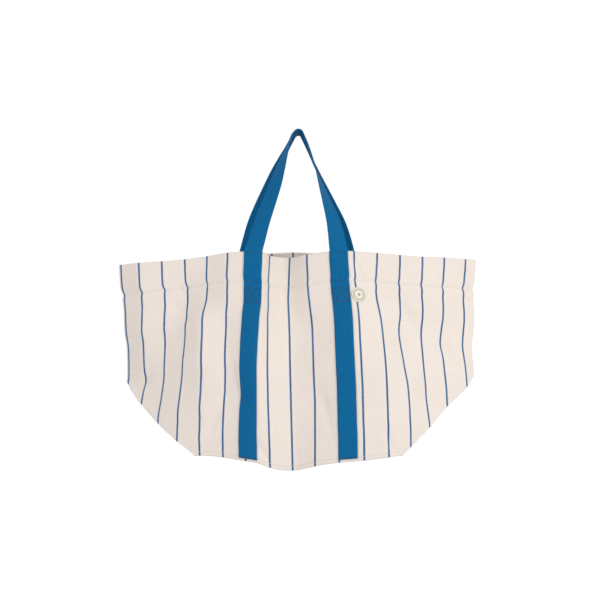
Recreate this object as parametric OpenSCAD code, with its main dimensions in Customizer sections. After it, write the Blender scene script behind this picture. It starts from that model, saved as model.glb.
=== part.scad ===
// A large striped canvas sack with two carrying handles, empty and hung up by them.
// The limp canvas keeps the creases it was folded flat along: an upright crease down
// each side, a slanting fold from each side crease to a bottom corner, and the base
// drawn up inside.  X runs across the sack, Y from front to back, Z up, and the
// origin is the hang point, just under the tops of both handles.

/* [Canvas body] */
// Width of the base panel
base_w = 440; // [300:5:600]
// Depth of the base panel
base_d = 390; // [240:5:520]
// Height of the front and back panels, from rim to base seam
body_h = 450; // [360:5:620]
// Thickness of the canvas
canvas_t = 1.2; // [0.8:0.1:2]
// Depth of the turned hem
hem_h = 66; // [30:1:90]
// Width of the side seam allowance
seam_w = 12; // [8:1:20]

/* [Webbing] */
// Width of the webbing
web_w = 38; // [25:1:50]
// Thickness of the webbing
web_t = 2.4; // [1.5:0.1:3.5]
// Distance along the rim between the middles of the two straps of a handle
strap_pitch = 220; // [150:5:300]
// Height of the hang point above the rim
handle_rise = 260; // [150:2:400]
// Radius of the bend at the top of a handle
handle_bend = 14; // [8:1:24]

/* [Sewn details] */
// Side of the square box stitch on each strap
box_side = 34; // [20:1:44]
// Gap between the hem stitching and the box stitch
box_drop = 14; // [4:1:40]
// Thickness of a row of stitching
stitch_w = 1.6; // [1:0.1:3]
// Diameter of the round label
label_d = 34; // [20:1:50]
// Width of the tape inside the base seam
tape_w = 14; // [8:1:24]

/* [Hang] */
// How far the bottom corners stand in front of the middle plane
base_open = 140; // [80:5:180]
// Droop of the rim at the side creases
end_droop = 25; // [0:1:60]
// Droop of the rim at the middle crease
mid_droop = 16; // [0:1:40]

/* [Hidden] */
$middle = -1;

canvas_colour = "linen";
web_colour = "steelblue";
thread_colour = "midnightblue";

lay_gap = 0.2;              // clearance between two layers sewn together
fold_gap = 6;               // height of the handle's fold line above the rim
fold_clear = 5;             // a strap stops this far below the fold line
fold_start = 0.3;           // and the free handle starts this far above it
half_w = base_w / 2;
half_d = base_d / 2;
side_u = half_w + half_d;   // side crease, measured along the canvas from the middle
strap_u = strap_pitch / 2;
knee_v = body_h - half_d;   // where the side crease turns into the slanting folds
rim_z = -handle_rise;
edge_y = canvas_t + 2 * lay_gap; // panels stand this far from the middle plane at a seam
corner_min = 1.5;           // width left of the side cloth at a bottom corner
stitch_t = 0.6;             // how proud the stitching stands
stitch_rise = 9;            // height of the base stitching above the base seam
tuck_dip = 12.5;            // fall of the tucked side crease below level, in degrees
base_sag = 70;              // sag of the base's raised middle line
base_inset = 4;             // the base panel stops this far inside its seam
probe = 0.5;                // step used to find which way the canvas faces
turned_edge = 5;            // canvas folded under at the bottom of the hem
rim_layers = 3 * canvas_t;  // thickness of the rolled rim, which the hem starts below
box_top = hem_h + box_drop;
label_gap = 1.5;            // canvas showing between a strap and the label
label_c = [strap_u + web_w / 2 + label_gap + label_d / 2, box_top + box_side / 2];
leg_steps = 26;
bend_steps = 8;
twist_start = 0.27;         // part of a handle leg that stays flat-on before it twists
twist_end = 0.93;           // and the part by which it is edge-on
handle_top_y = web_w / 2 + 1;
leg_y = -on_canvas(strap_u, 0, canvas_t / 2 + lay_gap + web_t / 2).y; // also the fold line's

// ---- where the hanging canvas lies ------------------------------------------------
// u runs along the canvas from the middle crease and v down it from the rim.
// The canvas turns back by these angles, between the middle crease and the strap,
// between the strap and the corner line, and from there to the side crease.  The
// middle crease was folded through both panels, so it points into the sack in front
// and, less sharply, out of it behind: $middle is -1 on the front and 1 on the back.
function turns(v) = [
    $middle < 0 ? -lookup(v, [[0, 32], [knee_v, 22], [body_h, 13]])
        : lookup(v, [[0, 14], [knee_v, 12], [body_h, 9]]),
    lookup(v, [[0, 23], [knee_v, 22], [body_h, 17]]),
    lookup(v, [[0, 9], [knee_v, 29], [body_h, 32]])
];
function spans(u) = [
    min(u, strap_u),
    max(0, min(u, half_w) - strap_u),
    max(0, u - half_w)
];
function across(u, v) = spans(abs(u)) * [for (a = turns(v)) cos(a)];
function behind(u, v) = spans(abs(u)) * [for (a = turns(v)) sin(a)];
function fold_u(v) = min(side_u, side_u - (v - knee_v));
function reach(v) = max(fold_u(v), half_w + corner_min);
function fold_y(v) = -edge_y - (base_open - edge_y) * max(0, v - knee_v) / half_d;
function droop(u) = lookup(abs(u), [[0, mid_droop], [strap_u, 0], [side_u, end_droop]]);
function fall(u) = lookup(abs(u), [[0, 0.955], [strap_u, 0.955], [half_w, 0.93], [side_u, 1]]);

function cloth(u, v) = [
    sign(u) * across(u, v),
    fold_y(v) - behind(fold_u(v), v) + behind(u, v),
    rim_z - droop(u) - fall(u) * v
];
function unit(a) = a / norm(a);
function facing(u, v) = unit(cross(
    cloth(u + probe, v) - cloth(u - probe, v),
    cloth(u, v + probe) - cloth(u, v - probe)
));
// A point of the canvas moved outward by off.
function on_canvas(u, v, off) = cloth(u, v) - off * facing(u, v);

function mix(a, b, t) = a + (b - a) * t;
function steps(a, b, n) = [for (i = [0 : n]) a + (b - a) * i / n];

// ---- closed thin shells ------------------------------------------------------------
// outer and inner are grids of points, row by row, and the shell fills between them.
module shell(outer, inner) {
    rows = len(outer) - 1;
    cols = len(outer[0]) - 1;
    count = (rows + 1) * (cols + 1);
    function at(i, j, k) = k * count + i * (cols + 1) + j;
    function quad(a, b, c, d) = [[a, b, c], [a, c, d]];
    points = [for (layer = [outer, inner]) for (row = layer) for (p = row) p];
    skins = [for (i = [0 : rows - 1]) for (j = [0 : cols - 1]) for (f = concat(
        quad(at(i, j, 0), at(i, j + 1, 0), at(i + 1, j + 1, 0), at(i + 1, j, 0)),
        quad(at(i, j, 1), at(i + 1, j, 1), at(i + 1, j + 1, 1), at(i, j + 1, 1))
    )) f];
    ends = [for (j = [0 : cols - 1]) for (f = concat(
        quad(at(0, j, 0), at(0, j, 1), at(0, j + 1, 1), at(0, j + 1, 0)),
        quad(at(rows, j, 0), at(rows, j + 1, 0), at(rows, j + 1, 1), at(rows, j, 1))
    )) f];
    sides = [for (i = [0 : rows - 1]) for (f = concat(
        quad(at(i, 0, 0), at(i + 1, 0, 0), at(i + 1, 0, 1), at(i, 0, 1)),
        quad(at(i, cols, 0), at(i, cols, 1), at(i + 1, cols, 1), at(i + 1, cols, 0))
    )) f];
    polyhedron(points, concat(skins, ends, sides), convexity = 8);
}

// A patch of the front canvas, off0 to off1 outward, over lists of v and of u.
module patch(us, vs, off0, off1) {
    shell(
        [for (v = vs) [for (u = us) on_canvas(u, v, off1)]],
        [for (v = vs) [for (u = us) on_canvas(u, v, off0)]]
    );
}

// A row of stitching or binding of width w along a path of [u, v] points.
module ribbon(path, w, off0, off1) {
    last = len(path) - 1;
    function along(i) = unit(path[min(i + 1, last)] - path[max(i - 1, 0)]);
    function beside(i, s) = path[i] + s * w / 2 * [-along(i).y, along(i).x];
    function rail(off) = [for (i = [0 : last]) [for (s = [1, -1])
        on_canvas(beside(i, s).x, beside(i, s).y, off)]];
    shell(rail(off1), rail(off0));
}

module at_back() {
    $middle = 1;
    mirror([0, 1, 0]) children();
}

// ---- canvas ------------------------------------------------------------------------
// Every layer keeps to these rows and columns, so that layers sewn together stay
// parallel.  Rows fall on the edges of what is sewn on, and on the knee.
hem_rows = [rim_layers, hem_h / 2, hem_h, hem_h + turned_edge];
box_rows = [box_top, box_top + box_side / 2, box_top + box_side];
foot_rows = [body_h - tape_w - base_inset, body_h - stitch_rise, body_h - base_inset];
body_rows = concat(
    [0], hem_rows, box_rows,
    [for (v = steps(box_top + box_side, knee_v, 3)) if (v > box_top + box_side) v],
    [for (v = steps(knee_v, foot_rows[0], 4)) if (v > knee_v && v < foot_rows[0]) v],
    foot_rows, [body_h]
);
strap_columns = [strap_u - web_w / 2, strap_u, strap_u + web_w / 2];
half_columns = concat([strap_u / 2], strap_columns, [label_c.x, half_w]);
side_shares = [0.2, 0.4, 0.6, 0.8, 1 - (seam_w + 2) / half_d];
function both_ways(us) = concat([for (i = [len(us) - 1 : -1 : 0]) -us[i]], [0], us);
// The columns of the side cloth close up as it narrows below the knee.
function row_columns(v) = both_ways(concat(
    half_columns,
    [for (share = side_shares) mix(half_w, reach(v), share)],
    [reach(v)]
));
function columns_within(u0, u1) = [for (u = row_columns(0)) if (u > u0 && u < u1) u];

knee = cloth(side_u, knee_v);
corner = cloth(half_w + corner_min, body_h);
tuck = [knee.x - half_d * cos(tuck_dip), -edge_y, knee.z - half_d * sin(tuck_dip)];

// The cloth beyond a slanting fold, tucked inward to the raised end of the base.
module tucked_corner() {
    function crease(a) = cloth(mix(side_u, half_w + corner_min, a), mix(knee_v, body_h, a));
    function inner(a) = mix(knee, tuck, a);
    lean = unit(cross(corner - knee, tuck - knee));
    starts = steps(0.06, 0.985, 6);
    function grid(off) = [for (a = starts) [for (b = steps(0, 1, 3))
        mix(crease(a), inner(a), b) + off * lean]];
    shell(grid(canvas_t / 2), grid(-canvas_t / 2));
}

module panel() {
    color(canvas_colour) union() {
        shell(
            [for (v = body_rows) [for (u = row_columns(v)) on_canvas(u, v, canvas_t / 2)]],
            [for (v = body_rows) [for (u = row_columns(v)) on_canvas(u, v, -canvas_t / 2)]]
        );
        tucked_corner();
        mirror([1, 0, 0]) tucked_corner();
    }
}
module front_panel() { panel(); }
module back_panel() { at_back() panel(); }

module base_panel() {
    clear = 1 - base_inset / half_w;
    function seam(a, b) = let ($middle = sign(b)) cloth(a * half_w, body_h);
    function ridge(a) = [a * tuck.x, 0, tuck.z - base_sag * (1 - a * a)];
    function on_base(a, b) = let (p = mix(ridge(a), seam(a, b), abs(b)))
        [p.x, b < 0 ? p.y : -p.y, p.z];
    function grid(drop) = [for (b = steps(-clear, clear, 10))
        [for (a = steps(-clear, clear, 10)) on_base(a, b) - [0, 0, drop]]];
    color(canvas_colour) shell(grid(-canvas_t / 2), grid(canvas_t / 2));
}

module hem() {
    inner = -canvas_t / 2 - lay_gap;
    end_u = side_u - seam_w - 1;
    color(canvas_colour) patch(columns_within(-end_u, end_u), hem_rows, inner - canvas_t, inner);
}
module front_hem() { hem(); }
module back_hem() { at_back() hem(); }

// The felled seam that closes the tube of canvas down one side crease.
module side_seam() {
    inset = 1;
    vs = steps(0, knee_v - seam_w, 4);
    function edge(v, w, y) = let (p = cloth(side_u - w, v)) [p.x, y, p.z];
    function grid(y) = [for (v = vs) [edge(v, seam_w, y), edge(v, inset, y)]];
    color(canvas_colour) shell(grid(-canvas_t / 2), grid(canvas_t / 2));
}
module right_side_seam() { side_seam(); }
module left_side_seam() { mirror([1, 0, 0]) side_seam(); }

module base_seam_tape() {
    inner = -canvas_t / 2 - lay_gap;
    end_u = half_w - tape_w;
    us = concat([-end_u], columns_within(-end_u, end_u), [end_u]);
    color(canvas_colour) {
        patch(us, foot_rows, inner - canvas_t, inner);
        at_back() patch(us, foot_rows, inner - canvas_t, inner);
    }
}

// ---- webbing -----------------------------------------------------------------------
strap_off = canvas_t / 2 + lay_gap;

module strap(side) {
    us = side > 0 ? strap_columns : [for (i = [2 : -1 : 0]) -strap_columns[i]];
    vs = concat([fold_clear - fold_gap], [for (v = body_rows) if (v < body_h) v]);
    color(web_colour) patch(us, vs, strap_off, strap_off + web_t);
}
module front_strap_left() { strap(-1); }
module front_strap_right() { strap(1); }
module back_strap_left() { at_back() strap(-1); }
module back_strap_right() { at_back() strap(1); }

// The free loop of a handle.  Each leg leaves its strap flat-on and turns edge-on
// before it goes over the top, so that both handles hang side by side on one hook.
bend_z = -handle_bend;
bend_r = handle_bend + web_t / 2;
function leg_twist(share) = 90 * max(0, min(1, (share - twist_start) / (twist_end - twist_start)));

module handle() {
    foot = on_canvas(strap_u, 0, strap_off + web_t / 2);
    start = [foot.x, -leg_y, rim_z + fold_gap + fold_start];
    lean = atan2(start.x - bend_r, bend_z - start.z);
    end = [bend_r * cos(lean), -handle_top_y, bend_z + bend_r * sin(lean)];
    half_loop = concat(
        [for (t = steps(0, 1, leg_steps)) mix(start, end, t)],
        [for (a = steps(lean, 90, bend_steps)) if (a > lean)
            [bend_r * cos(a), -handle_top_y, bend_z + bend_r * sin(a)]]
    );
    last = len(half_loop) - 1;
    function half_ring(i) = let (
        raw = half_loop[min(i + 1, last)] - half_loop[max(i - 1, 0)],
        way = i == 0 ? [0, 0, 1] : i == last ? [-1, 0, 0] : unit(raw),
        out = unit(cross([0, 1, 0], way)),
        level = cross(way, out),
        twist = leg_twist(i / leg_steps),
        wide = cos(twist) * out + sin(twist) * level,
        thick = cross(way, wide)
    ) [for (c = [[1, 1], [1, -1], [-1, -1], [-1, 1]])
        half_loop[i] + c.x * web_w / 2 * wide + c.y * web_t / 2 * thick];
    right = [for (i = [0 : last]) half_ring(i)];
    left = [for (i = [last - 1 : -1 : 0]) [for (p = right[i]) [-p.x, p.y, p.z]]];
    rings = concat(right, left);
    count = len(rings);
    points = [for (r = rings) for (p = r) p];
    // Both broad faces are split along the same diagonal, so they twist in parallel.
    walls = [for (i = [0 : count - 2]) for (k = [0 : 3]) let (
        a = i * 4 + k, b = i * 4 + (k + 1) % 4
    ) for (f = k == 3 ? [[a, b, a + 4], [b, b + 4, a + 4]] : [[a, b, b + 4], [a, b + 4, a + 4]]) f];
    tail = (count - 1) * 4;
    color(web_colour)
        polyhedron(points, concat(walls, [[3, 2, 1, 0]], [[tail, tail + 1, tail + 2, tail + 3]]));
}
module front_handle() { handle(); }
module back_handle() { at_back() handle(); }

// ---- stitching and label -----------------------------------------------------------
thread_off = strap_off + web_t + lay_gap;

// A square of stitching with both diagonals, broken where the rows would cross.
module box_stitch(side) {
    c = [side * strap_u, box_top + box_side / 2];
    h = box_side / 2 - stitch_w;
    corners = [[-h, -h], [h, -h], [h, h], [-h, h]];
    gap = stitch_w;
    function row(a, b, g) = let (way = unit(b - a)) [for (p = steps(0, 1, 4))
        c + mix(a + g * way, b - g * way, p)];
    color(thread_colour) {
        for (k = [0 : 3])
            ribbon(row(corners[k], corners[(k + 1) % 4], gap / 2 + 0.1), stitch_w,
                thread_off, thread_off + stitch_t);
        for (k = [0 : 3])
            ribbon(row(corners[k], [0, 0], 2 * gap), stitch_w, thread_off, thread_off + stitch_t);
    }
}
module front_box_stitch_left() { box_stitch(-1); }
module front_box_stitch_right() { box_stitch(1); }
module back_box_stitch_left() { at_back() box_stitch(-1); }
module back_box_stitch_right() { at_back() box_stitch(1); }

// Rows of stitching on the canvas, from u0 to u1, that stop at the straps.
module canvas_row(u0, u1, v) {
    us = concat([u0], columns_within(u0, u1), [u1]);
    ribbon([for (u = us) [u, v]], stitch_w, strap_off, strap_off + stitch_t);
}
module stitched_rows(end_u, v) {
    near = strap_u - web_w / 2 - 1;
    far = strap_u + web_w / 2 + 1;
    canvas_row(-end_u, -far, v);
    canvas_row(-near, near, v);
    canvas_row(far, end_u, v);
}
module hem_stitching() {
    color(thread_colour) {
        stitched_rows(side_u - 4, hem_h);
        at_back() stitched_rows(side_u - 4, hem_h);
    }
}
module base_stitching() {
    v = body_h - stitch_rise;
    end_u = half_w - 2;
    color(thread_colour) {
        stitched_rows(end_u, v);
        at_back() stitched_rows(end_u, v);
    }
}

label_t = 1;
module disc(r, r_inner, off0, off1) {
    function rim_point(a, q, off) = on_canvas(label_c.x + q * cos(a), label_c.y + q * sin(a), off);
    angles = steps(0, 360, 36);
    ring_points = [for (a = angles) if (a < 360) a];
    n = len(ring_points);
    points = [for (lo = [[r, off1], [r_inner, off1], [r_inner, off0], [r, off0]])
        for (a = ring_points) rim_point(a, lo[0], lo[1])];
    faces = [for (i = [0 : n - 1]) for (k = [0 : 3]) let (
        j = (i + 1) % n, a = k * n, b = ((k + 1) % 4) * n
    ) for (f = [[a + i, b + j, b + i], [a + i, a + j, b + j]]) f];
    polyhedron(points, faces);
}
module label_patch() {
    color(canvas_colour) disc(label_d / 2, 1, strap_off, strap_off + label_t);
}
module label_stitching() {
    top = strap_off + label_t + lay_gap;
    color(thread_colour) disc(label_d / 2 - 1.5, label_d / 2 - 1.5 - stitch_w, top, top + stitch_t);
}

front_panel();
back_panel();
base_panel();
front_hem();
back_hem();
left_side_seam();
right_side_seam();
base_seam_tape();
front_strap_left();
front_strap_right();
back_strap_left();
back_strap_right();
front_handle();
back_handle();
front_box_stitch_left();
front_box_stitch_right();
back_box_stitch_left();
back_box_stitch_right();
hem_stitching();
base_stitching();
label_patch();
label_stitching();
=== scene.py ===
# A striped canvas sack with webbing handles, hanging empty from both of them.
import math

import bpy
import numpy as np
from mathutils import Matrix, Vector, noise


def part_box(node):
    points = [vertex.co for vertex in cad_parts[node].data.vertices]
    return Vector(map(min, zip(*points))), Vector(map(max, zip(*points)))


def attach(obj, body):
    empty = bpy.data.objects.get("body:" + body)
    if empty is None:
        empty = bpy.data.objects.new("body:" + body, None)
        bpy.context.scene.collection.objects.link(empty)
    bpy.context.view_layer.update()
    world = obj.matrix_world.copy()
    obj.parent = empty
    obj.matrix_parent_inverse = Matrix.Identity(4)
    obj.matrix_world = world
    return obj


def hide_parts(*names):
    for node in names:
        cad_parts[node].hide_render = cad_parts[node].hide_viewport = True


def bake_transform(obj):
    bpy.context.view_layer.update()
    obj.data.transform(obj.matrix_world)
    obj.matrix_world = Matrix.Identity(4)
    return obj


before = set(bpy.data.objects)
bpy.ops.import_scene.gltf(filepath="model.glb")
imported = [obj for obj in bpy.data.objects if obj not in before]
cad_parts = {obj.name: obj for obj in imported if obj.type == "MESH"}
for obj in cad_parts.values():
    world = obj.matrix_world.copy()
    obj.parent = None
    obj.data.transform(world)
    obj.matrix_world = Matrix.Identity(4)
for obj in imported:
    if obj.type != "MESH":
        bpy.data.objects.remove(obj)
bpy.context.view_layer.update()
mm = 0.001


def linear(hexColour):
    parts = [int(hexColour[i:i + 2], 16) / 255 for i in (1, 3, 5)]
    return [c / 12.92 if c <= 0.04045 else ((c + 0.055) / 1.055) ** 2.4 for c in parts] + [1]


def unit(a):
    return a / np.maximum(np.linalg.norm(a, axis=-1, keepdims=True), 1e-9)


def ease(x, start, end):
    t = np.clip((x - start) / (end - start), 0, 1)
    return t * t * (3 - 2 * t)


# Camera.
view = dict(distance=2.0, side=0.006, height=-0.363, lens=55, sensor=36)

camera = bpy.data.objects.new("camera", bpy.data.cameras.new("camera"))
camera.data.lens = view["lens"]
camera.data.sensor_width = view["sensor"]
camera.location = (view["side"], -view["distance"], view["height"])
camera.rotation_euler = (math.radians(90), 0, 0)
bpy.context.scene.collection.objects.link(camera)
bpy.context.scene.camera = camera
print("camera placed")


# The hanging cloth.
# u runs along the canvas from its middle, positive to the right, v down from the rim.
# Lengths are in millimetres until a point is made.
sack = dict(
    halfBase=220, halfSide=195, height=450, canvas=1.2, hem=66, layGap=0.25,
    strapFoot=6, seamRise=9, cell=2.5, foldSoft=7, fallSoft=16, rimSoft=9, hangSoft=25,
    spareAcross=15, spareDown=10,  # cloth worked out beyond the edges, then cut away
    middleU=-10,  # the middle crease is this far from the true middle
    steepest=0.06, sideGap=1.44, sideShare=150,
)
sideU = sack["halfBase"] + sack["halfSide"]
kneeV = sack["height"] - sack["halfSide"]
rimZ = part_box("front_panel")[1].z / mm

# How far the cloth stands out from the middle plane: a row for each height, and
# a column for each place where the cloth changes direction.
frontFolds = dict(
    u=[-415, -360, -310, -260, -210, -160, -126, -84, -60, -10,
       40, 92, 134, 190, 240, 290, 340, 390, 415],
    v=[0, 100, 165, 250, 320, 380, 450],
    out=[
        [1, 32, 33, 36, 44, 67, 75, 76, 55, 27, 64, 76, 76, 66, 58, 47, 35, 22, 12],
        [1, 34, 38, 39, 65, 94, 95, 110, 85, 62, 90, 97, 104, 70, 70, 57, 40, 22, 12],
        [3, 41, 49, 71, 105, 89, 104, 122, 102, 80, 95, 112, 120, 103, 68, 60, 36, 28, 16],
        [8, 44, 68, 96, 125, 108, 125, 141, 130, 113, 128, 146, 154, 150, 118, 92, 74, 62, 41],
        [40, 52, 72, 98, 119, 113, 128, 146, 138, 119, 129, 148, 155, 150, 130, 98, 80, 62, 48],
        [42, 54, 80, 102, 117, 122, 134, 149, 146, 122, 140, 156, 162, 158, 140, 116, 88, 64, 48],
        [42, 54, 80, 102, 118, 127, 137, 150, 150, 125, 149, 160, 164, 159, 142, 116, 88, 64, 48],
    ],
    # where the middle crease lies across the sack, at these heights
    middle=[(0, -16), (90, -19), (165, -16), (255, -14), (450, -9)],
    rim=[(-415, 27), (-360, 23), (-310, 20), (-260, 16), (-210, 10), (-160, 3), (-124, 1),
         (-85, 1), (-60, 10), (-10, 13), (40, 7), (93, 0), (131, 0), (190, 4), (240, 8),
         (290, 11), (340, 12), (390, 15), (415, 16)],
    fall=[(-415, 1), (-220, 0.907), (-160, 0.938), (-105, 0.956), (-62, 0.957), (-10, 0.987),
          (42, 0.955), (107, 0.954), (170, 0.933), (220, 0.905), (415, 0.98)],
    gather=0.16,  # cloth crowded beside the left strap
    creases=[(140, 20, 165, 72, 4, 7), (-172, 350, -190, 405, 4, 9), (-140, 240, -120, 330, 4, 9),
             (205, 445, 180, 385, 3, 7), (-85, 405, -60, 440, 3, 8), (-300, 95, -240, 150, 3, 12),
             (240, 110, 280, 170, 3, 12), (55, 300, 75, 390, 3, 10), (-395, 300, -340, 240, 4, 12),
             (330, 180, 380, 250, 4, 12), (-30, 60, -14, 130, 2.5, 7)],
    seed=3.1,
)
backFolds = dict(
    u=frontFolds["u"],
    v=[0, 120, 250, 350, 450],
    out=[
        [1, 20, 36, 48, 62, 74, 76, 78, 84, 96, 86, 78, 76, 66, 54, 42, 30, 8, -12],
        [-1, 26, 44, 62, 84, 90, 96, 102, 106, 120, 110, 102, 96, 86, 68, 48, 30, 8, -13],
        [-8, 34, 62, 92, 120, 128, 132, 142, 148, 158, 148, 140, 134, 132, 112, 76, 40, -2, -41],
        [10, 44, 74, 102, 128, 134, 140, 148, 154, 164, 156, 148, 142, 140, 120, 92, 62, 20, -20],
        [10, 46, 80, 110, 132, 140, 148, 156, 162, 170, 164, 156, 150, 148, 132, 104, 76, 30, -20],
    ],
    middle=[(0, -10), (255, -8)],
    rim=[(-415, 27), (-220, 9), (-105, 0), (-10, -6), (105, 0), (220, 8), (415, 16)],
    fall=[(-415, 1), (-220, 0.915), (-105, 0.956), (-10, 0.97), (105, 0.956), (220, 0.915),
          (415, 0.98)],
    gather=0,
    creases=[(-150, 30, -170, 90, 4, 8), (170, 340, 190, 410, 4, 9),
             (130, 230, 118, 320, 4, 10), (-200, 440, -178, 380, 3, 7),
             (290, 90, 235, 160, 3, 12), (-260, 120, -300, 190, 3, 12),
             (380, 290, 330, 230, 4, 12), (-340, 170, -385, 245, 4, 12)],
    seed=11.7,
)


# Small shapes on top of the folds, as heights and widths in millimetres.
wrinkles = dict(
    slow=2.6, slowAcross=75, slowDown=150, small=0.55, smallAcross=26, smallDown=48,
    calm=60,  # flat beside the side seams
    pucker=2.0, puckerPitch=9, puckerWide=9, groove=1.2, grooveWide=2.5,
    gatherAt=-72, gatherWide=12, gatherEnd=(300, 420),
)


def blur(grid, soft, axis):
    reach = int(3 * soft / sack["cell"])
    weights = np.exp(-0.5 * (np.arange(-reach, reach + 1) * sack["cell"] / soft) ** 2)
    weights /= weights.sum()
    padded = np.apply_along_axis(lambda line: np.pad(line, reach, mode="reflect",
                                                     reflect_type="odd"), axis, grid)
    return np.apply_along_axis(lambda line: np.convolve(line, weights, "valid"), axis, padded)


# Slow creases and small cockles that canvas keeps from being folded and sewn.
def cockle(us, vs, seed):
    bumps = np.zeros((len(vs), len(us)))
    for i, v in enumerate(vs):
        for j, u in enumerate(us):
            slow = noise.noise(Vector((u / wrinkles["slowAcross"] + seed,
                                       v / wrinkles["slowDown"], seed)))
            small = noise.noise(Vector((u / wrinkles["smallAcross"],
                                        v / wrinkles["smallDown"] + seed, 2 * seed)))
            bumps[i, j] = wrinkles["slow"] * slow + wrinkles["small"] * small
    return bumps


# The row of hem stitching pulls a groove into the cloth and puckers it.
def pucker(us, vs, seed):
    along = np.array([noise.noise(Vector((u / wrinkles["puckerPitch"], seed, 0))) for u in us])
    near = np.exp(-((vs - sack["hem"]) / wrinkles["puckerWide"]) ** 2)
    groove = np.exp(-((vs - sack["hem"]) / wrinkles["grooveWide"]) ** 2)
    return (wrinkles["pucker"] * near[:, None] * along[None, :]
            - wrinkles["groove"] * groove[:, None])


# Single creases: each runs from one place to another and is so deep and so wide.
def crease(us, vs, runs):
    u, v = np.meshgrid(us, vs)
    bumps = np.zeros(u.shape)
    for u0, v0, u1, v1, depth, wide in runs:
        span = math.hypot(u1 - u0, v1 - v0)
        du, dv = (u1 - u0) / span, (v1 - v0) / span
        t = (u - u0) * du + (v - v0) * dv
        aside = (u - u0) * dv - (v - v0) * du
        bumps -= depth * np.exp(-(aside / wide) ** 2) * ease(t, -0.2 * span, 0.3 * span) \
            * (1 - ease(t, 0.7 * span, 1.2 * span))
    return bumps


# The cloth keeps its length along u, so what it spends going in and out it loses
# in width.
def drape(folds):
    us = np.arange(-sideU - sack["spareAcross"], sideU + sack["spareAcross"] + 0.1, sack["cell"])
    vs = np.arange(-sack["spareDown"], sack["height"] + sack["spareDown"] + 0.1, sack["cell"])
    byRow = np.array([np.interp(us, folds["u"], row) for row in folds["out"]])
    out = np.array([np.interp(vs, folds["v"], column) for column in byRow.T]).T
    out = blur(blur(out, sack["foldSoft"], 1), sack["fallSoft"], 0)
    calm = np.clip((sideU - np.abs(us)) / wrinkles["calm"], 0, 1)[None, :]
    out = out + (cockle(us, vs, folds["seed"]) + pucker(us, vs, folds["seed"])
                 + crease(us, vs, folds["creases"])) * calm
    slope = np.gradient(out, sack["cell"], axis=1)
    high = 1 - ease(vs, *wrinkles["gatherEnd"])
    crowd = np.exp(-((us - wrinkles["gatherAt"]) / wrinkles["gatherWide"]) ** 2)
    width = np.sqrt(np.maximum(1 - slope ** 2, sack["steepest"]))
    width *= 1 - folds["gather"] * crowd[None, :] * high[:, None]
    x = np.cumsum(width, axis=1) * sack["cell"]
    middleAt = np.argmin(np.abs(us - sack["middleU"]))
    middle = np.interp(vs, *zip(*folds["middle"]))
    x = x - x[:, [middleAt]] + middle[:, None]
    rim = np.interp(us, *zip(*folds["rim"]))
    fall = np.interp(us, *zip(*folds["fall"]))
    z = rimZ - blur(rim[None, :], sack["rimSoft"], 1) \
        - blur(fall[None, :], sack["hangSoft"], 1) * vs[:, None]
    return dict(us=us, vs=vs, points=np.stack([x, -out, z], axis=-1))


def addNormals(cloth, toward):
    alongU = np.gradient(cloth["points"], axis=1)
    alongV = np.gradient(cloth["points"], axis=0)
    cloth["normals"] = unit(np.cross(alongU, -alongV)) * toward
    return cloth


def sample(cloth, key, u, v):
    a = (np.asarray(u, float) - cloth["us"][0]) / sack["cell"]
    b = (np.asarray(v, float) - cloth["vs"][0]) / sack["cell"]
    a, b = np.broadcast_arrays(a, b)
    i = np.clip(b.astype(int), 0, len(cloth["vs"]) - 2)
    j = np.clip(a.astype(int), 0, len(cloth["us"]) - 2)
    s, t = (a - j)[..., None], (b - i)[..., None]
    grid = cloth[key]
    return ((grid[i, j] * (1 - s) + grid[i, j + 1] * s) * (1 - t)
            + (grid[i + 1, j] * (1 - s) + grid[i + 1, j + 1] * s) * t)


def onCloth(cloth, u, v, off):
    lift = np.asarray(off, float)[..., None]
    return sample(cloth, "points", u, v) + unit(sample(cloth, "normals", u, v)) * lift


# The side edges of the back are moved to meet those of the front.
def meetAtSides(back, front):
    vs = np.minimum(back["vs"], kneeV)
    for side in (-1, 1):
        miss = sample(front, "points", side * sideU, vs) - sample(back, "points", side * sideU, vs)
        miss[:, 1] += sack["sideGap"]
        share = ease(side * back["us"], sack["sideShare"], sideU)
        back["points"] += share[None, :, None] * miss[:, None, :]


front = addNormals(drape(frontFolds), 1)
back = drape(backFolds)
back["points"][..., 1] *= -1
meetAtSides(back, front)
addNormals(back, -1)
print("cloth draped")


# Meshes.
def makeMesh(name, points, faces, uv, material):
    mesh = bpy.data.meshes.new(name)
    mesh.from_pydata((np.asarray(points) * mm).tolist(), [], faces.tolist())
    mesh.polygons.foreach_set("use_smooth", [True] * len(mesh.polygons))
    layer = mesh.uv_layers.new(name="flat")
    corners = np.empty(len(mesh.loops), int)
    mesh.loops.foreach_get("vertex_index", corners)
    layer.data.foreach_set("uv", (np.asarray(uv)[corners] * mm).ravel())
    mesh.materials.append(material)
    mesh.update()
    piece = bpy.data.objects.new(name, mesh)
    bpy.context.scene.collection.objects.link(piece)
    return piece


def quads(index):
    return np.stack([index[:-1, :-1], index[1:, :-1], index[1:, 1:], index[:-1, 1:]],
                    axis=-1).reshape(-1, 4)


# A closed thin sheet between two grids of points.
def sheetFaces(rows, cols, start=0):
    a = np.arange(rows * cols).reshape(rows, cols) + start
    b = a + rows * cols
    faces = [quads(a), quads(b)[:, ::-1]]
    for p, q in ((a[0], b[0]), (b[-1], a[-1]), (b[:, 0], a[:, 0]), (a[:, -1], b[:, -1])):
        faces.append(np.stack([p[:-1], p[1:], q[1:], q[:-1]], axis=-1))
    return np.concatenate(faces)


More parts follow.
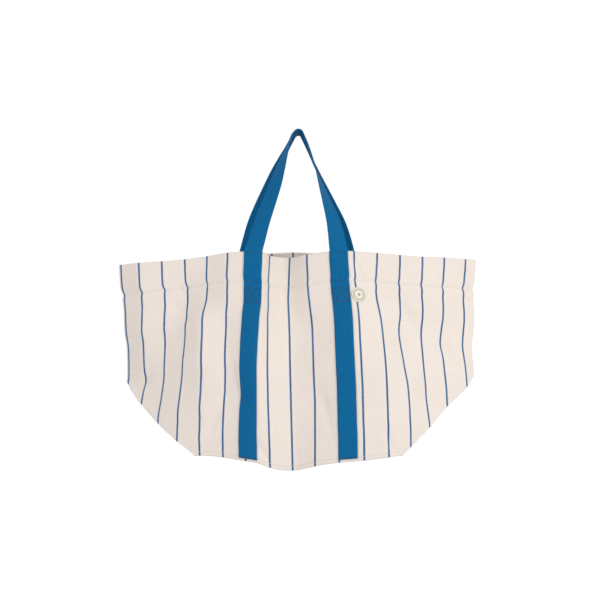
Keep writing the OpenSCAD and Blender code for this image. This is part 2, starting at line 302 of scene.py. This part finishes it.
def sheetPiece(name, sheets, material):
    points, faces, uvs, start = [], [], [], 0
    for outer, inner, uv in sheets:
        rows, cols = outer.shape[:2]
        points += [outer.reshape(-1, 3), inner.reshape(-1, 3)]
        uvs += [uv.reshape(-1, 2)] * 2
        faces.append(sheetFaces(rows, cols, start))
        start += 2 * rows * cols
    return makeMesh(name, np.concatenate(points), np.concatenate(faces),
                    np.concatenate(uvs), material)


def evenly(a, b, cell):
    return np.linspace(a, b, max(2, int(round(abs(b - a) / cell)) + 1))


def patch(cloth, us, vs, off0, off1):
    u, v = np.meshgrid(us, vs)
    return onCloth(cloth, u, v, off1), onCloth(cloth, u, v, off0), np.stack([u, v], axis=-1)


# Materials.
def newMaterial(name, **sockets):
    material = bpy.data.materials.new(name)
    material.use_nodes = True
    shader = material.node_tree.nodes["Principled BSDF"]
    for socket, value in sockets.items():
        shader.inputs[socket.replace("_", " ")].default_value = value
    return material, material.node_tree, shader


def addNode(tree, kind, links=(), inputs=(), stops=(), **settings):
    node = tree.nodes.new(kind)
    for name, value in settings.items():
        setattr(node, name, value)
    for socket, value in dict(inputs).items():
        node.inputs[socket].default_value = value
    for socket, source in dict(links).items():
        tree.links.new(source, node.inputs[socket])
    for i, (place, colour) in enumerate(stops):  # of a colour ramp, which starts with two
        element = node.color_ramp.elements[i]
        element.position = place
        element.color = linear(colour)
    return node


canvasLook = dict(
    cream="#F1E6DD", shade="#EDE2D9", stripe="#2F5A8A", stripeEdge="#5178A3",
    stripePitch=50 * mm, stripeWidth=4.8 * mm, stripeStart=-10 * mm, wander=0.4 * mm,
    blurred=0.6 * mm,
    yarn=1.6 * mm,  # 0.8 mm in the real plain weave, drawn at twice that so that it shows
    slub=4 * mm, warpStretch=14, weftStretch=12,  # how thick, and how many times as long
    grain=(0.75, 1.25), weave=0.1, bump=0.06 * mm, strength=0.6,
)


# Cotton canvas, plain woven with dyed warp stripes: matt, with a thread grain and
# faint slubs where a yarn runs thick.
def wovenCanvas(stripes=True):
    look = canvasLook
    name = "striped cotton canvas" if stripes else "plain cotton canvas"
    material, tree, shader = newMaterial(
        name, Roughness=0.88, IOR=1.47, Sheen_Weight=0.25, Sheen_Roughness=0.5)
    flat = addNode(tree, "ShaderNodeUVMap", uv_map="flat")
    split = addNode(tree, "ShaderNodeSeparateXYZ", {0: flat.outputs[0]})
    across, down = split.outputs[0], split.outputs[1]
    warp = addNode(tree, "ShaderNodeMapping", {0: flat.outputs[0]},
                   {"Scale": (1 / look["slub"], 1 / look["slub"] / look["warpStretch"], 1)})
    weft = addNode(tree, "ShaderNodeMapping", {0: flat.outputs[0]},
                   {"Scale": (1 / look["slub"] / look["weftStretch"], 1 / look["slub"], 1)})
    warpNoise = addNode(tree, "ShaderNodeTexNoise", {"Vector": warp.outputs[0]}, {"Scale": 1})
    weftNoise = addNode(tree, "ShaderNodeTexNoise", {"Vector": weft.outputs[0]}, {"Scale": 1})
    grain = addNode(tree, "ShaderNodeMath", {0: warpNoise.outputs["Fac"],
                                             1: weftNoise.outputs["Fac"]}, operation="ADD")
    toned = addNode(tree, "ShaderNodeMapRange", {"Value": grain.outputs[0]},
                    {"From Min": look["grain"][0], "From Max": look["grain"][1]})
    cloth = addNode(tree, "ShaderNodeValToRGB", {0: toned.outputs[0]},
                    stops=[(0, look["shade"]), (1, look["cream"])])
    colour = cloth.outputs["Color"]
    if stripes:
        wander = addNode(tree, "ShaderNodeMapRange", {"Value": weftNoise.outputs["Fac"]}, {
            "To Min": -look["wander"] - look["stripeStart"],
            "To Max": look["wander"] - look["stripeStart"]})
        moved = addNode(tree, "ShaderNodeMath", {0: across, 1: wander.outputs[0]}, operation="ADD")
        phase = addNode(tree, "ShaderNodeMath", {0: moved.outputs[0]},
                        {1: look["stripePitch"] / 2}, operation="PINGPONG")
        inStripe = addNode(tree, "ShaderNodeMapRange", {"Value": phase.outputs[0]}, {
            "From Min": look["stripeWidth"] / 2 - look["blurred"],
            "From Max": look["stripeWidth"] / 2, "To Min": 1, "To Max": 0})
        blueTone = addNode(tree, "ShaderNodeMix", {"Factor": toned.outputs[0]}, {
            "A": linear(look["stripe"]), "B": linear(look["stripeEdge"])}, data_type="RGBA")
        mixed = addNode(tree, "ShaderNodeMix", {
            "Factor": inStripe.outputs[0], "A": colour, "B": blueTone.outputs["Result"]},
            data_type="RGBA")
        colour = mixed.outputs["Result"]
    tree.links.new(colour, shader.inputs["Base Color"])
    weave = []
    for way in (across, down):
        turns = addNode(tree, "ShaderNodeMath", {0: way}, {1: 2 * math.pi / look["yarn"]},
                        operation="MULTIPLY")
        weave.append(addNode(tree, "ShaderNodeMath", {0: turns.outputs[0]}, operation="SINE"))
    crossed = addNode(tree, "ShaderNodeMath", {0: weave[0].outputs[0], 1: weave[1].outputs[0]},
                      operation="MULTIPLY")
    height = addNode(tree, "ShaderNodeMath", {0: crossed.outputs[0], 2: grain.outputs[0]},
                     {1: look["weave"]}, operation="MULTIPLY_ADD")
    bump = addNode(tree, "ShaderNodeBump", {"Height": height.outputs[0]},
                   {"Strength": look["strength"], "Distance": look["bump"]})
    tree.links.new(bump.outputs[0], shader.inputs["Normal"])
    return material


webLook = dict(
    # the first colour is the painted highlight on rib crowns, the second the painted shade in rib
    # hollows
    ribCrownLight="#0579B4", ribHollowShade="#01507F", rib=2.4 * mm, cord=3.4 * mm,
    fibre=(2.857 * mm, 11.11 * mm),  # a yarn crown, across and along the webbing
    tone=(-0.4, 1.4), bump=0.25 * mm, strength=0.7,
)


# Polypropylene webbing, woven in a ribbed twill: slightly glossy, with cross ribs and
# yarn crowns. Its colour follows the bump height around the webbing's own blue: painted
# shade in the rib hollows and painted highlight on the ribs and yarn crowns.
def ribbedWebbing():
    look = webLook
    material, tree, shader = newMaterial(
        "polypropylene webbing", Roughness=0.62, IOR=1.49, Specular_IOR_Level=0.12)
    flat = addNode(tree, "ShaderNodeUVMap", uv_map="flat")
    split = addNode(tree, "ShaderNodeSeparateXYZ", {0: flat.outputs[0]})
    waves = []
    for way, pitch in ((0, look["cord"]), (1, look["rib"])):
        turns = addNode(tree, "ShaderNodeMath", {0: split.outputs[way]}, {1: 2 * math.pi / pitch},
                        operation="MULTIPLY")
        waves.append(addNode(tree, "ShaderNodeMath", {0: turns.outputs[0]}, operation="SINE"))
    ribs = addNode(tree, "ShaderNodeMath", {0: waves[0].outputs[0], 1: waves[1].outputs[0]},
                   operation="MULTIPLY")
    noiseMap = addNode(tree, "ShaderNodeMapping", {0: flat.outputs[0]},
                       {"Scale": (1 / look["fibre"][0], 1 / look["fibre"][1], 1)})
    fibre = addNode(tree, "ShaderNodeTexNoise", {"Vector": noiseMap.outputs[0]}, {"Scale": 1})
    tone = addNode(tree, "ShaderNodeMath", {0: ribs.outputs[0], 1: fibre.outputs["Fac"]},
                   operation="ADD")
    spread = addNode(tree, "ShaderNodeMapRange", {"Value": tone.outputs[0]},
                     {"From Min": look["tone"][0], "From Max": look["tone"][1]})
    # painted shade in the hollows and painted highlight on the crowns, taken from the bump height
    colour = addNode(tree, "ShaderNodeValToRGB", {0: spread.outputs[0]},
                     stops=[(0, look["ribHollowShade"]), (1, look["ribCrownLight"])])
    tree.links.new(colour.outputs["Color"], shader.inputs["Base Color"])
    bump = addNode(tree, "ShaderNodeBump", {"Height": tone.outputs[0]},
                   {"Strength": look["strength"], "Distance": look["bump"]})
    tree.links.new(bump.outputs[0], shader.inputs["Normal"])
    return material


threadLook = dict(twist=1.111 * mm, tone=(0.35, 0.65), bump=0.3 * mm, strength=0.4)


# Spun polyester thread: a fine twist that catches light along each stitch.
def spunThread(name, dark, light):
    look = threadLook
    material, tree, shader = newMaterial(
        name, Roughness=0.5, IOR=1.5, Sheen_Weight=0.2)
    place = addNode(tree, "ShaderNodeTexCoord")
    twist = addNode(tree, "ShaderNodeTexNoise", {"Vector": place.outputs["Object"]},
                    {"Scale": 1 / look["twist"], "Detail": 1})
    tone = addNode(tree, "ShaderNodeValToRGB", {0: twist.outputs["Fac"]},
                   stops=[(look["tone"][0], dark), (look["tone"][1], light)])
    tree.links.new(tone.outputs["Color"], shader.inputs["Base Color"])
    bump = addNode(tree, "ShaderNodeBump", {"Height": twist.outputs["Fac"]},
                   {"Strength": look["strength"], "Distance": look["bump"]})
    tree.links.new(bump.outputs[0], shader.inputs["Normal"])
    return material


labelLook = dict(
    face="#EDE6D6", ink="#7F8A76", density=0.8, soft=0.3 * mm,
    ringRadius=11.5 * mm, ringWidth=1.8 * mm, dot=3 * mm,
    yarn=0.8333 * mm, bump=0.3 * mm, strength=0.4,
)


# Woven satin, smoother than the canvas, printed with a plain ring around a dot.
def satinLabel():
    look = labelLook
    material, tree, shader = newMaterial("woven satin label", Roughness=0.6, IOR=1.5)
    flat = addNode(tree, "ShaderNodeUVMap", uv_map="flat")
    distance = addNode(tree, "ShaderNodeVectorMath", {0: flat.outputs[0]}, operation="LENGTH")
    colour = None
    for radius, width in ((look["ringRadius"], look["ringWidth"]), (0, 2 * look["dot"])):
        away = addNode(tree, "ShaderNodeMath", {0: distance.outputs["Value"]},
                       {1: radius}, operation="SUBTRACT")
        near = addNode(tree, "ShaderNodeMath", {0: away.outputs[0]}, operation="ABSOLUTE")
        ink = addNode(tree, "ShaderNodeMapRange", {"Value": near.outputs[0]}, {
            "From Min": width / 2, "From Max": width / 2 + look["soft"],
            "To Min": look["density"], "To Max": 0})
        printed = addNode(tree, "ShaderNodeMix", {"Factor": ink.outputs[0]}, {
            "A": linear(look["face"]), "B": linear(look["ink"])}, data_type="RGBA")
        if colour:
            tree.links.new(colour, printed.inputs["A"])
        colour = printed.outputs["Result"]
    tree.links.new(colour, shader.inputs["Base Color"])
    weave = addNode(tree, "ShaderNodeTexNoise", {"Vector": flat.outputs[0]},
                    {"Scale": 1 / look["yarn"]})
    bump = addNode(tree, "ShaderNodeBump", {"Height": weave.outputs["Fac"]},
                   {"Strength": look["strength"], "Distance": look["bump"]})
    tree.links.new(bump.outputs[0], shader.inputs["Normal"])
    return material


stripedCanvas = wovenCanvas()
plainCanvas = wovenCanvas(stripes=False)
webbing = ribbedWebbing()
navyThread = spunThread("navy polyester thread", "#0A2A49", "#174267")
creamThread = spunThread("cream polyester thread", "#D9C9BB", "#EADFD5")
labelCloth = satinLabel()
print("materials made")


# Canvas panels.
def foldU(v):
    return np.minimum(sideU, sideU - (v - kneeV))


def panelGrid(cell=3.0):
    inner = evenly(0, sack["halfBase"], cell)
    shares = evenly(0, 1, cell / sack["halfSide"])[1:]
    vs = evenly(0, sack["height"], cell)
    reach = np.maximum(foldU(vs), sack["halfBase"] + 1)
    half = np.concatenate([
        np.broadcast_to(inner, (len(vs), len(inner))),
        sack["halfBase"] + shares[None, :] * (reach[:, None] - sack["halfBase"])], axis=1)
    u = np.concatenate([-half[:, :0:-1], half], axis=1)
    return u, np.broadcast_to(vs[:, None], u.shape)


tuck = dict(
    dip=12.5,  # degrees that the turned-in edge runs down toward the middle
    sag=32,  # how far the middle of the base hangs below its ends
    bulge=13.5, steps=(56, 40),
)


def tuckPoint(cloth, side):
    knee = sample(cloth, "points", side * sideU, kneeV)
    dip = math.radians(tuck["dip"])
    length = sack["halfSide"]
    return knee, knee + length * np.array([-side * math.cos(dip), 0, -math.sin(dip)])


# The cloth beyond a slanting fold, turned in under the panel to the raised base.
def tuckedCorner(cloth, side):
    share = np.linspace(0.02, 1, tuck["steps"][0])
    v = kneeV + share * sack["halfSide"]
    u = side * np.maximum(foldU(v), sack["halfBase"] + 1)
    crease = sample(cloth, "points", u, v)
    knee, end = tuckPoint(cloth, side)
    inner = knee + share[:, None] * (end - knee)
    across = np.linspace(0, 1, tuck["steps"][1])
    grid = crease[:, None] * (1 - across)[None, :, None] + inner[:, None] * across[None, :, None]
    alongU = np.gradient(grid, axis=1)
    alongV = np.gradient(grid, axis=0)
    lean = unit(np.cross(alongU, alongV))
    lean *= -np.sign(lean[..., 2:3].mean())
    belly = np.sin(math.pi * across)[None, :, None] * tuck["bulge"] \
        * (share * (1 - share ** 4))[:, None, None]
    grid = grid + lean * belly
    flatU = u[:, None] + side * across[None, :] * (share * sack["halfSide"])[:, None]
    uv = np.stack([flatU, np.broadcast_to(v[:, None], flatU.shape)], axis=-1)
    half = sack["canvas"] / 2
    return grid + lean * half, grid - lean * half, uv


def canvasPanel(name, cloth):
    u, v = panelGrid()
    half = sack["canvas"] / 2
    body = (onCloth(cloth, u, v, half), onCloth(cloth, u, v, -half), np.stack([u, v], axis=-1))
    sheets = [body] + [tuckedCorner(cloth, side) for side in (-1, 1)]
    piece = sheetPiece(name, sheets, stripedCanvas)
    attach(piece, "sack")
    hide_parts(name)


canvasPanel("front_panel", front)
canvasPanel("back_panel", back)
print("panels cut")


# Base.
raisedBase = dict(stepAcross=0.018, stepAlong=0.016, bow=14, wrinkle=7, wrinkleAlong=70,
                  wrinkleAcross=40, seed=5.0)


# The base is drawn up along its middle, between the two tucked corners.
def basePanel():
    across = evenly(-1, 1, raisedBase["stepAcross"])
    along = evenly(-1, 1, raisedBase["stepAlong"])
    half = sack["halfBase"]
    ends = 1 - along ** 6
    rows = []
    knees = [tuckPoint(front, side)[1] for side in (-1, 1)]
    ridge = np.array([
        np.interp(along, [-1, 1], [knees[0][0], knees[1][0]]),
        np.zeros_like(along),
        np.interp(along, [-1, 1], [knees[0][2], knees[1][2]]) - tuck["sag"] * (1 - along ** 2),
    ]).T
    for b in across:
        cloth = front if b < 0 else back
        seam = onCloth(cloth, along * half, sack["height"] - 1, -sack["canvas"])
        t = abs(b)
        bow = raisedBase["bow"] * math.sin(math.pi * t)
        rows.append(ridge * (1 - t) + seam * t + ends[:, None] * np.array([0, 0, bow]))
    grid = np.array(rows)
    places = grid / [raisedBase["wrinkleAlong"], raisedBase["wrinkleAcross"], 1]
    wrinkle = np.array([[noise.noise(Vector((p[0], p[1], raisedBase["seed"]))) for p in row]
                        for row in places])
    grid[..., 2] += raisedBase["wrinkle"] * wrinkle * ends[None, :] \
        * (1 - np.abs(across)[:, None] ** 4)
    lean = unit(np.cross(np.gradient(grid, axis=1), np.gradient(grid, axis=0)))
    u, v = np.meshgrid(along * half, across * sack["halfSide"])
    skin = lean * sack["canvas"] / 2
    piece = sheetPiece("base_panel", [(grid - skin, grid + skin, np.stack([u, v], axis=-1))],
                       stripedCanvas)
    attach(piece, "sack")
    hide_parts("base_panel")


basePanel()


# Hems, side seams and base tape.
seams = dict(allowance=12, tape=14, inset=4, hemTurn=5, rimInset=0.4, sideBack=0.75,
             sideHalf=0.25, cell=4, hemCell=3, sideSteps=5)
under = -sack["canvas"] / 2 - sack["layGap"]


def finishStrip(piece, node):
    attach(piece, "sack")
    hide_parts(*node)


for name, cloth in (("front", front), ("back", back)):
    endU = sideU - seams["allowance"] - 1
    low = sack["hem"] + seams["hemTurn"]
    strip = patch(cloth, evenly(-endU, endU, seams["cell"]),
                  evenly(seams["rimInset"], low, seams["hemCell"]),
                  under - sack["canvas"], under)
    finishStrip(sheetPiece(name + "_hem", [strip], stripedCanvas), [name + "_hem"])

for name, side in (("left", -1), ("right", 1)):
    vs = evenly(1, kneeV - seams["allowance"], seams["cell"])
    edge = sample(front, "points", side * sideU, vs)
    inward = np.linspace(1, seams["allowance"], seams["sideSteps"])
    grid = edge[:, None, :] + inward[None, :, None] * np.array([-side, 0, 0])
    grid[..., 1] += seams["sideBack"]
    lift = np.array([0, seams["sideHalf"], 0])
    flatU = np.linspace(0, seams["allowance"], seams["sideSteps"])
    uv = np.stack(np.meshgrid(flatU, vs), axis=-1)
    piece = sheetPiece(name + "_side_seam", [(grid - lift, grid + lift, uv)], plainCanvas)
    finishStrip(piece, [name + "_side_seam"])

endU = sack["halfBase"] - seams["tape"]
tapeLow = sack["height"] - seams["inset"]
tapeVs = evenly(tapeLow - seams["tape"], tapeLow, seams["hemCell"])
tapes = [patch(cloth, evenly(-endU, endU, seams["cell"]), tapeVs, under - sack["canvas"], under)
         for cloth in (front, back)]
finishStrip(sheetPiece("base_seam_tape", tapes, plainCanvas), ["base_seam_tape"])
print("base, hems and seams sewn")


# Webbing straps and handles.
web = dict(
    width=38, thick=2.4, cell=2.5,
    frontStraps=(-105, 108), backStraps=(-117, 114),
    # Share of the way up a leg, how far it bows outward, and how far it is turned in
    # degrees.
    leftLeg=[(0, 0, 8), (0.13, 1, 21), (0.25, 2.8, 28), (0.42, 3, 40), (0.56, 2.8, 51),
             (0.72, 3.8, 67), (0.81, 3.6, 78), (0.9, 2.6, 88), (1, 0, 90)],
    rightLeg=[(0, 0, 6), (0.13, 5, 26), (0.25, 7.8, 39), (0.42, 6.3, 57), (0.56, 4.9, 69),
              (0.72, 4.5, 82), (0.81, 3.8, 86), (0.9, 2.6, 89), (1, 0, 90)],
    backBow=8,  # the left leg of the back handle bows this much more
    topY=21.5, bend=10.2, lean=19, top=4.0,
    swing=10,  # turn of the loops where they cross the hook
    foot=45,  # the loop takes up the shape of its strap's foot over this height
    across=17, arcSteps=10,
)


def smoothLine(xs, ys, at):
    slopes = np.gradient(ys, xs)
    i = np.clip(np.searchsorted(xs, at) - 1, 0, len(xs) - 2)
    h = xs[i + 1] - xs[i]
    t = (at - xs[i]) / h
    return ((2 * t ** 3 - 3 * t ** 2 + 1) * ys[i] + (t ** 3 - 2 * t ** 2 + t) * h * slopes[i]
            + (3 * t ** 2 - 2 * t ** 3) * ys[i + 1] + (t ** 3 - t ** 2) * h * slopes[i + 1])


# One leg, from the foot of its strap to the top of the loop.  Side is -1 for the leg
# on the left, and facing is -1 for the front handle.
def leg(cloth, strapU, side, facing):
    s = np.linspace(-1, 1, web["across"]) * web["width"] / 2
    vs = evenly(sack["height"] - sack["strapFoot"], 0, web["cell"])
    lift = sack["canvas"] / 2 + sack["layGap"] + web["thick"] / 2
    inward = -side
    strap = onCloth(cloth, strapU + inward * s[None, :], vs[:, None], lift)
    foot = strap[-1]
    middle = foot.mean(axis=0)
    route = web["leftLeg"] if side < 0 else web["rightLeg"]
    shares, bows, twists = (np.array(c, float) for c in zip(*route))
    if side < 0 < facing:
        bows = bows + web["backBow"] * np.sin(math.pi * shares)
    lean = math.radians(web["lean"])
    arcs = np.linspace(lean, math.pi / 2, web["arcSteps"])[1:]
    bendZ = web["top"] - web["thick"] / 2 - web["bend"]
    end = np.array([-inward * web["bend"] * math.cos(lean), facing * web["topY"],
                    bendZ + web["bend"] * math.sin(lean)])
    t = evenly(0, 1, web["cell"] / np.linalg.norm(end - middle))
    path = middle + t[:, None] * (end - middle)
    path[:, 0] -= inward * smoothLine(shares, bows, t)
    bend = np.stack([-inward * web["bend"] * np.cos(arcs), np.full(len(arcs), end[1]),
                     bendZ + web["bend"] * np.sin(arcs)], axis=-1)
    path = np.concatenate([path, bend])
    way = unit(np.gradient(path, axis=0))
    way[-1] = (inward, 0, 0)
    t = np.concatenate([t, np.ones(len(arcs))])
    twist = np.radians(smoothLine(shares, twists, t))
    flatWay = unit(np.cross(way, np.array([0, 1, 0])) * -side)
    flatWay *= np.sign(flatWay[:, [0]] * inward + 1e-9)
    wide = unit(np.cos(twist)[:, None] * flatWay
                + np.sin(twist)[:, None] * np.array([0, facing, 0]))
    loop = path[:, None, :] + s[None, :, None] * wide[:, None, :]
    turn = (-facing * np.radians(web["swing"]) * ease(t, 0.1, 1))[:, None]
    x, y = loop[..., 0].copy(), loop[..., 1] - end[1]
    loop[..., 0] = x * np.cos(turn) - y * np.sin(turn)
    loop[..., 1] = x * np.sin(turn) + y * np.cos(turn) + end[1]
    start = foot - loop[0]
    fade = 1 - ease(path[:, 2] - path[0, 2], 0, web["foot"])
    loop = loop + fade[:, None, None] * start[None, :, :]
    return np.concatenate([strap, loop[1:]])


# A woven band has thin rounded edges, so its thickness falls off beside them.
def bandSheet(grid, toward):
    alongS = np.gradient(grid, axis=1)
    alongPath = np.gradient(grid, axis=0)
    lean = unit(np.cross(alongS, alongPath))
    lean *= np.sign(lean[5, 8, 1] * toward)
    s = np.linspace(-1, 1, grid.shape[1])
    half = web["thick"] / 2 * np.sqrt(1 - 0.75 * np.abs(s) ** 10)
    length = np.concatenate([[0], np.cumsum(np.linalg.norm(
        np.diff(grid[:, grid.shape[1] // 2], axis=0), axis=-1))])
    uv = np.stack(np.meshgrid(s * web["width"] / 2, length), axis=-1)
    return grid + lean * half[None, :, None], grid - lean * half[None, :, None], uv


def webbingLoop(name, cloth, straps, facing):
    left = leg(cloth, straps[0], -1, facing)
    right = leg(cloth, straps[1], 1, facing)
    outer, inner, uv = bandSheet(np.concatenate([left, right[-2::-1]]), facing)
    piece = sheetPiece(name + "_webbing", [(outer, inner, uv)], webbing)
    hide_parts(name + "_strap_left", name + "_strap_right", name + "_handle")
    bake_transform(piece)


webbingLoop("front", front, web["frontStraps"], -1)
webbingLoop("back", back, web["backStraps"], 1)
print("webbing sewn on")


# Stitching.
stitching = dict(
    pitch=4.0, length=3.2, width=1.1, strapWidth=1.8, proud=0.5, sides=6, rings=5,
    thinEnd=0.35,  # share of its width that a stitch has where it goes into the cloth
    boxSide=34, boxTop=80, boxInset=1.5, rowHalf=17, rimRow=3,
)


# One stitch is a small rounded bead of thread, sunk at both ends.
def stitchRow(cloth, path, base, width):
    path = np.asarray(path, float)
    gaps = np.linalg.norm(np.diff(path, axis=0), axis=-1)
    at = np.concatenate([[0], np.cumsum(gaps)])
    starts = np.arange(0.5, at[-1] - stitching["length"], stitching["pitch"])
    points, faces = [], []
    sides, rings = stitching["sides"], stitching["rings"]
    for begin in starts:
        place = len(points)
        for k in range(rings):
            t = k / (rings - 1)
            d = begin + t * stitching["length"]
            u, v = (np.interp(d, at, path[:, i]) for i in (0, 1))
            ahead = [np.interp(d + 0.3, at, path[:, i]) for i in (0, 1)]
            way = unit(np.array([ahead[0] - u, ahead[1] - v]))
            fat = stitching["thinEnd"] + (1 - stitching["thinEnd"]) * math.sin(math.pi * t)
            for m in range(sides):
                a = 2 * math.pi * m / sides
                beside = math.cos(a) * width / 2 * fat
                up = base + (0.15 + math.sin(a) * 0.5 + 0.25 * fat) * stitching["proud"]
                points.append((u - way[1] * beside, v + way[0] * beside, up))
        for k in range(rings - 1):
            for m in range(sides):
                n = (m + 1) % sides
                faces.append([place + k * sides + m, place + k * sides + n,
                              place + (k + 1) * sides + n, place + (k + 1) * sides + m])
        for end in (0, rings - 1):
            ring = [place + end * sides + m for m in range(sides)]
            faces.append([ring[0], ring[1], ring[2], ring[3]])
            faces.append([ring[0], ring[3], ring[4], ring[5]])
    points = np.array(points)
    return onCloth(cloth, points[:, 0], points[:, 1], points[:, 2]), np.array(faces)


def stitchPiece(name, rows, material, replaced, width=stitching["width"]):
    points, faces, start = [], [], 0
    for cloth, path, base in rows:
        p, f = stitchRow(cloth, path, base, width)
        points.append(p)
        faces.append(f + start)
        start += len(p)
    points = np.concatenate(points)
    piece = makeMesh(name, points, np.concatenate(faces), points[:, [0, 2]], material)
    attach(piece, "sack")
    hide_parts(*replaced)


onCanvas = sack["canvas"] / 2
onWebbing = onCanvas + sack["layGap"] + web["thick"]


def line(u0, v0, u1, v1):
    count = max(2, int(math.hypot(u1 - u0, v1 - v0) / 3))
    return np.stack([np.linspace(u0, u1, count), np.linspace(v0, v1, count)], axis=-1)


def boxStitch(cloth, u):
    inset = stitching["boxInset"]
    top, low = stitching["boxTop"] + inset, stitching["boxTop"] + stitching["boxSide"] - inset
    a, b = u - stitching["boxSide"] / 2 + inset, u + stitching["boxSide"] / 2 - inset
    runs = [(a, top, b, top), (b, top, b, low), (b, low, a, low), (a, low, a, top),
            (a, top, b, low), (a, low, b, top)]
    return [(cloth, line(*run), onWebbing) for run in runs]


sides = (("front", front, web["frontStraps"]), ("back", back, web["backStraps"]))
for name, cloth, straps in sides:
    for word, u in zip(("left", "right"), straps):
        piece = name + "_box_stitch_" + word
        stitchPiece(piece, boxStitch(cloth, u), navyThread, [piece], stitching["strapWidth"])


def betweenStraps(v, endU, straps):
    half = web["width"] / 2 + 1
    edges = [-endU, straps[0] - half, straps[0] + half, straps[1] - half, straps[1] + half, endU]
    return [line(edges[i], v, edges[i + 1], v) for i in (0, 2, 4)]


stitchPiece("hem_stitching", [
    (cloth, path, onCanvas) for name, cloth, straps in sides
    for path in betweenStraps(sack["hem"], sideU - 4, straps)], creamThread, ["hem_stitching"])
baseRows = [(cloth, path, onCanvas) for name, cloth, straps in sides
            for path in betweenStraps(sack["height"] - sack["seamRise"],
                                      sack["halfBase"] - 2, straps)]
strapRows = [(cloth, line(u - stitching["rowHalf"], v, u + stitching["rowHalf"], v), onWebbing)
             for name, cloth, straps in sides for u in straps
             for v in (stitching["rimRow"], sack["hem"], sack["height"] - sack["seamRise"])]
stitchPiece("base_stitching", baseRows, creamThread, ["base_stitching"])
stitchPiece("strap_stitching", strapRows, navyThread, [], stitching["strapWidth"])
print("stitches made")


# Label.
label = dict(centre=(146, 97), across=34, thick=1.0, stitchInset=2)


def roundLabel():
    radii = np.linspace(0, label["across"] / 2, 9)
    angles = np.linspace(0, 2 * math.pi, 49)
    r, a = np.meshgrid(radii, angles)
    u = label["centre"][0] + r * np.cos(a)
    v = label["centre"][1] + r * np.sin(a)
    low = onCanvas + sack["layGap"]
    puff = label["thick"] * np.sqrt(1 - 0.8 * (r / radii[-1]) ** 8)  # a rounded rim
    outer, inner = onCloth(front, u, v, low + puff), onCloth(front, u, v, low)
    uv = np.stack([r * np.cos(a), r * np.sin(a)], axis=-1)
    piece = sheetPiece("label_patch", [(outer, inner, uv)], labelCloth)
    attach(piece, "sack")
    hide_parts("label_patch")
    turn = np.linspace(0, 2 * math.pi, 60)
    ring = label["across"] / 2 - label["stitchInset"]
    edge = np.stack([label["centre"][0] + ring * np.cos(turn),
                     label["centre"][1] + ring * np.sin(turn)], axis=-1)
    stitchPiece("label_stitching", [(front, edge, low + label["thick"])], creamThread,
                ["label_stitching"])


roundLabel()
print("label sewn on")


# Room and light.
studio = dict(
    floor=-1.9, wide=7.0, high=5.0, glow=1.02, world=0.62, aim=(0, 0, -0.4),
    key=dict(place=(2.6, -2.2, 0.5), size=1.6, power=44, colour="#FFFDF9"),
    fill=dict(place=(-1.8, -2.4, 0.2), size=2.2, power=20, colour="#FBFCFF"),
)


# A white room far around the sack: it is the pale ground behind every view, and
# lights nothing itself.
def whiteRoom():
    w, low, high = studio["wide"], studio["floor"], studio["high"]
    corners = [(x, y, z) for x in (-w, w) for y in (-w, w) for z in (low, high)]
    walls = [(0, 1, 3, 2), (4, 6, 7, 5), (0, 4, 5, 1), (2, 3, 7, 6), (0, 2, 6, 4), (1, 5, 7, 3)]
    mesh = bpy.data.meshes.new("white_room")
    mesh.from_pydata(corners, [], walls)
    room = bpy.data.objects.new("white_room", mesh)
    bpy.context.scene.collection.objects.link(room)
    paint = newMaterial("white paint", Roughness=1, Base_Color=linear("#000000"),
                        Specular_IOR_Level=0, Emission_Color=linear("#FFFFFF"),
                        Emission_Strength=studio["glow"])[0]
    mesh.materials.append(paint)
    room.visible_diffuse = room.visible_glossy = room.visible_shadow = False


whiteRoom()


def areaLight(name, place, size, power, colour):
    lamp = bpy.data.lights.new(name, "AREA")
    lamp.size = size
    lamp.energy = power
    lamp.color = linear(colour)[:3]
    light = bpy.data.objects.new(name, lamp)
    light.location = place
    way = Vector(studio["aim"]) - Vector(place)
    light.rotation_euler = way.to_track_quat("-Z", "Y").to_euler()
    bpy.context.scene.collection.objects.link(light)


world = bpy.data.worlds.new("studio")
world.use_nodes = True
sky = world.node_tree.nodes["Background"]
sky.inputs["Color"].default_value = linear("#FFFFFF")
sky.inputs["Strength"].default_value = studio["world"]
bpy.context.scene.world = world
areaLight("key", **studio["key"])
areaLight("fill", **studio["fill"])
bpy.context.scene.view_settings.view_transform = "Standard"
print("studio lit")
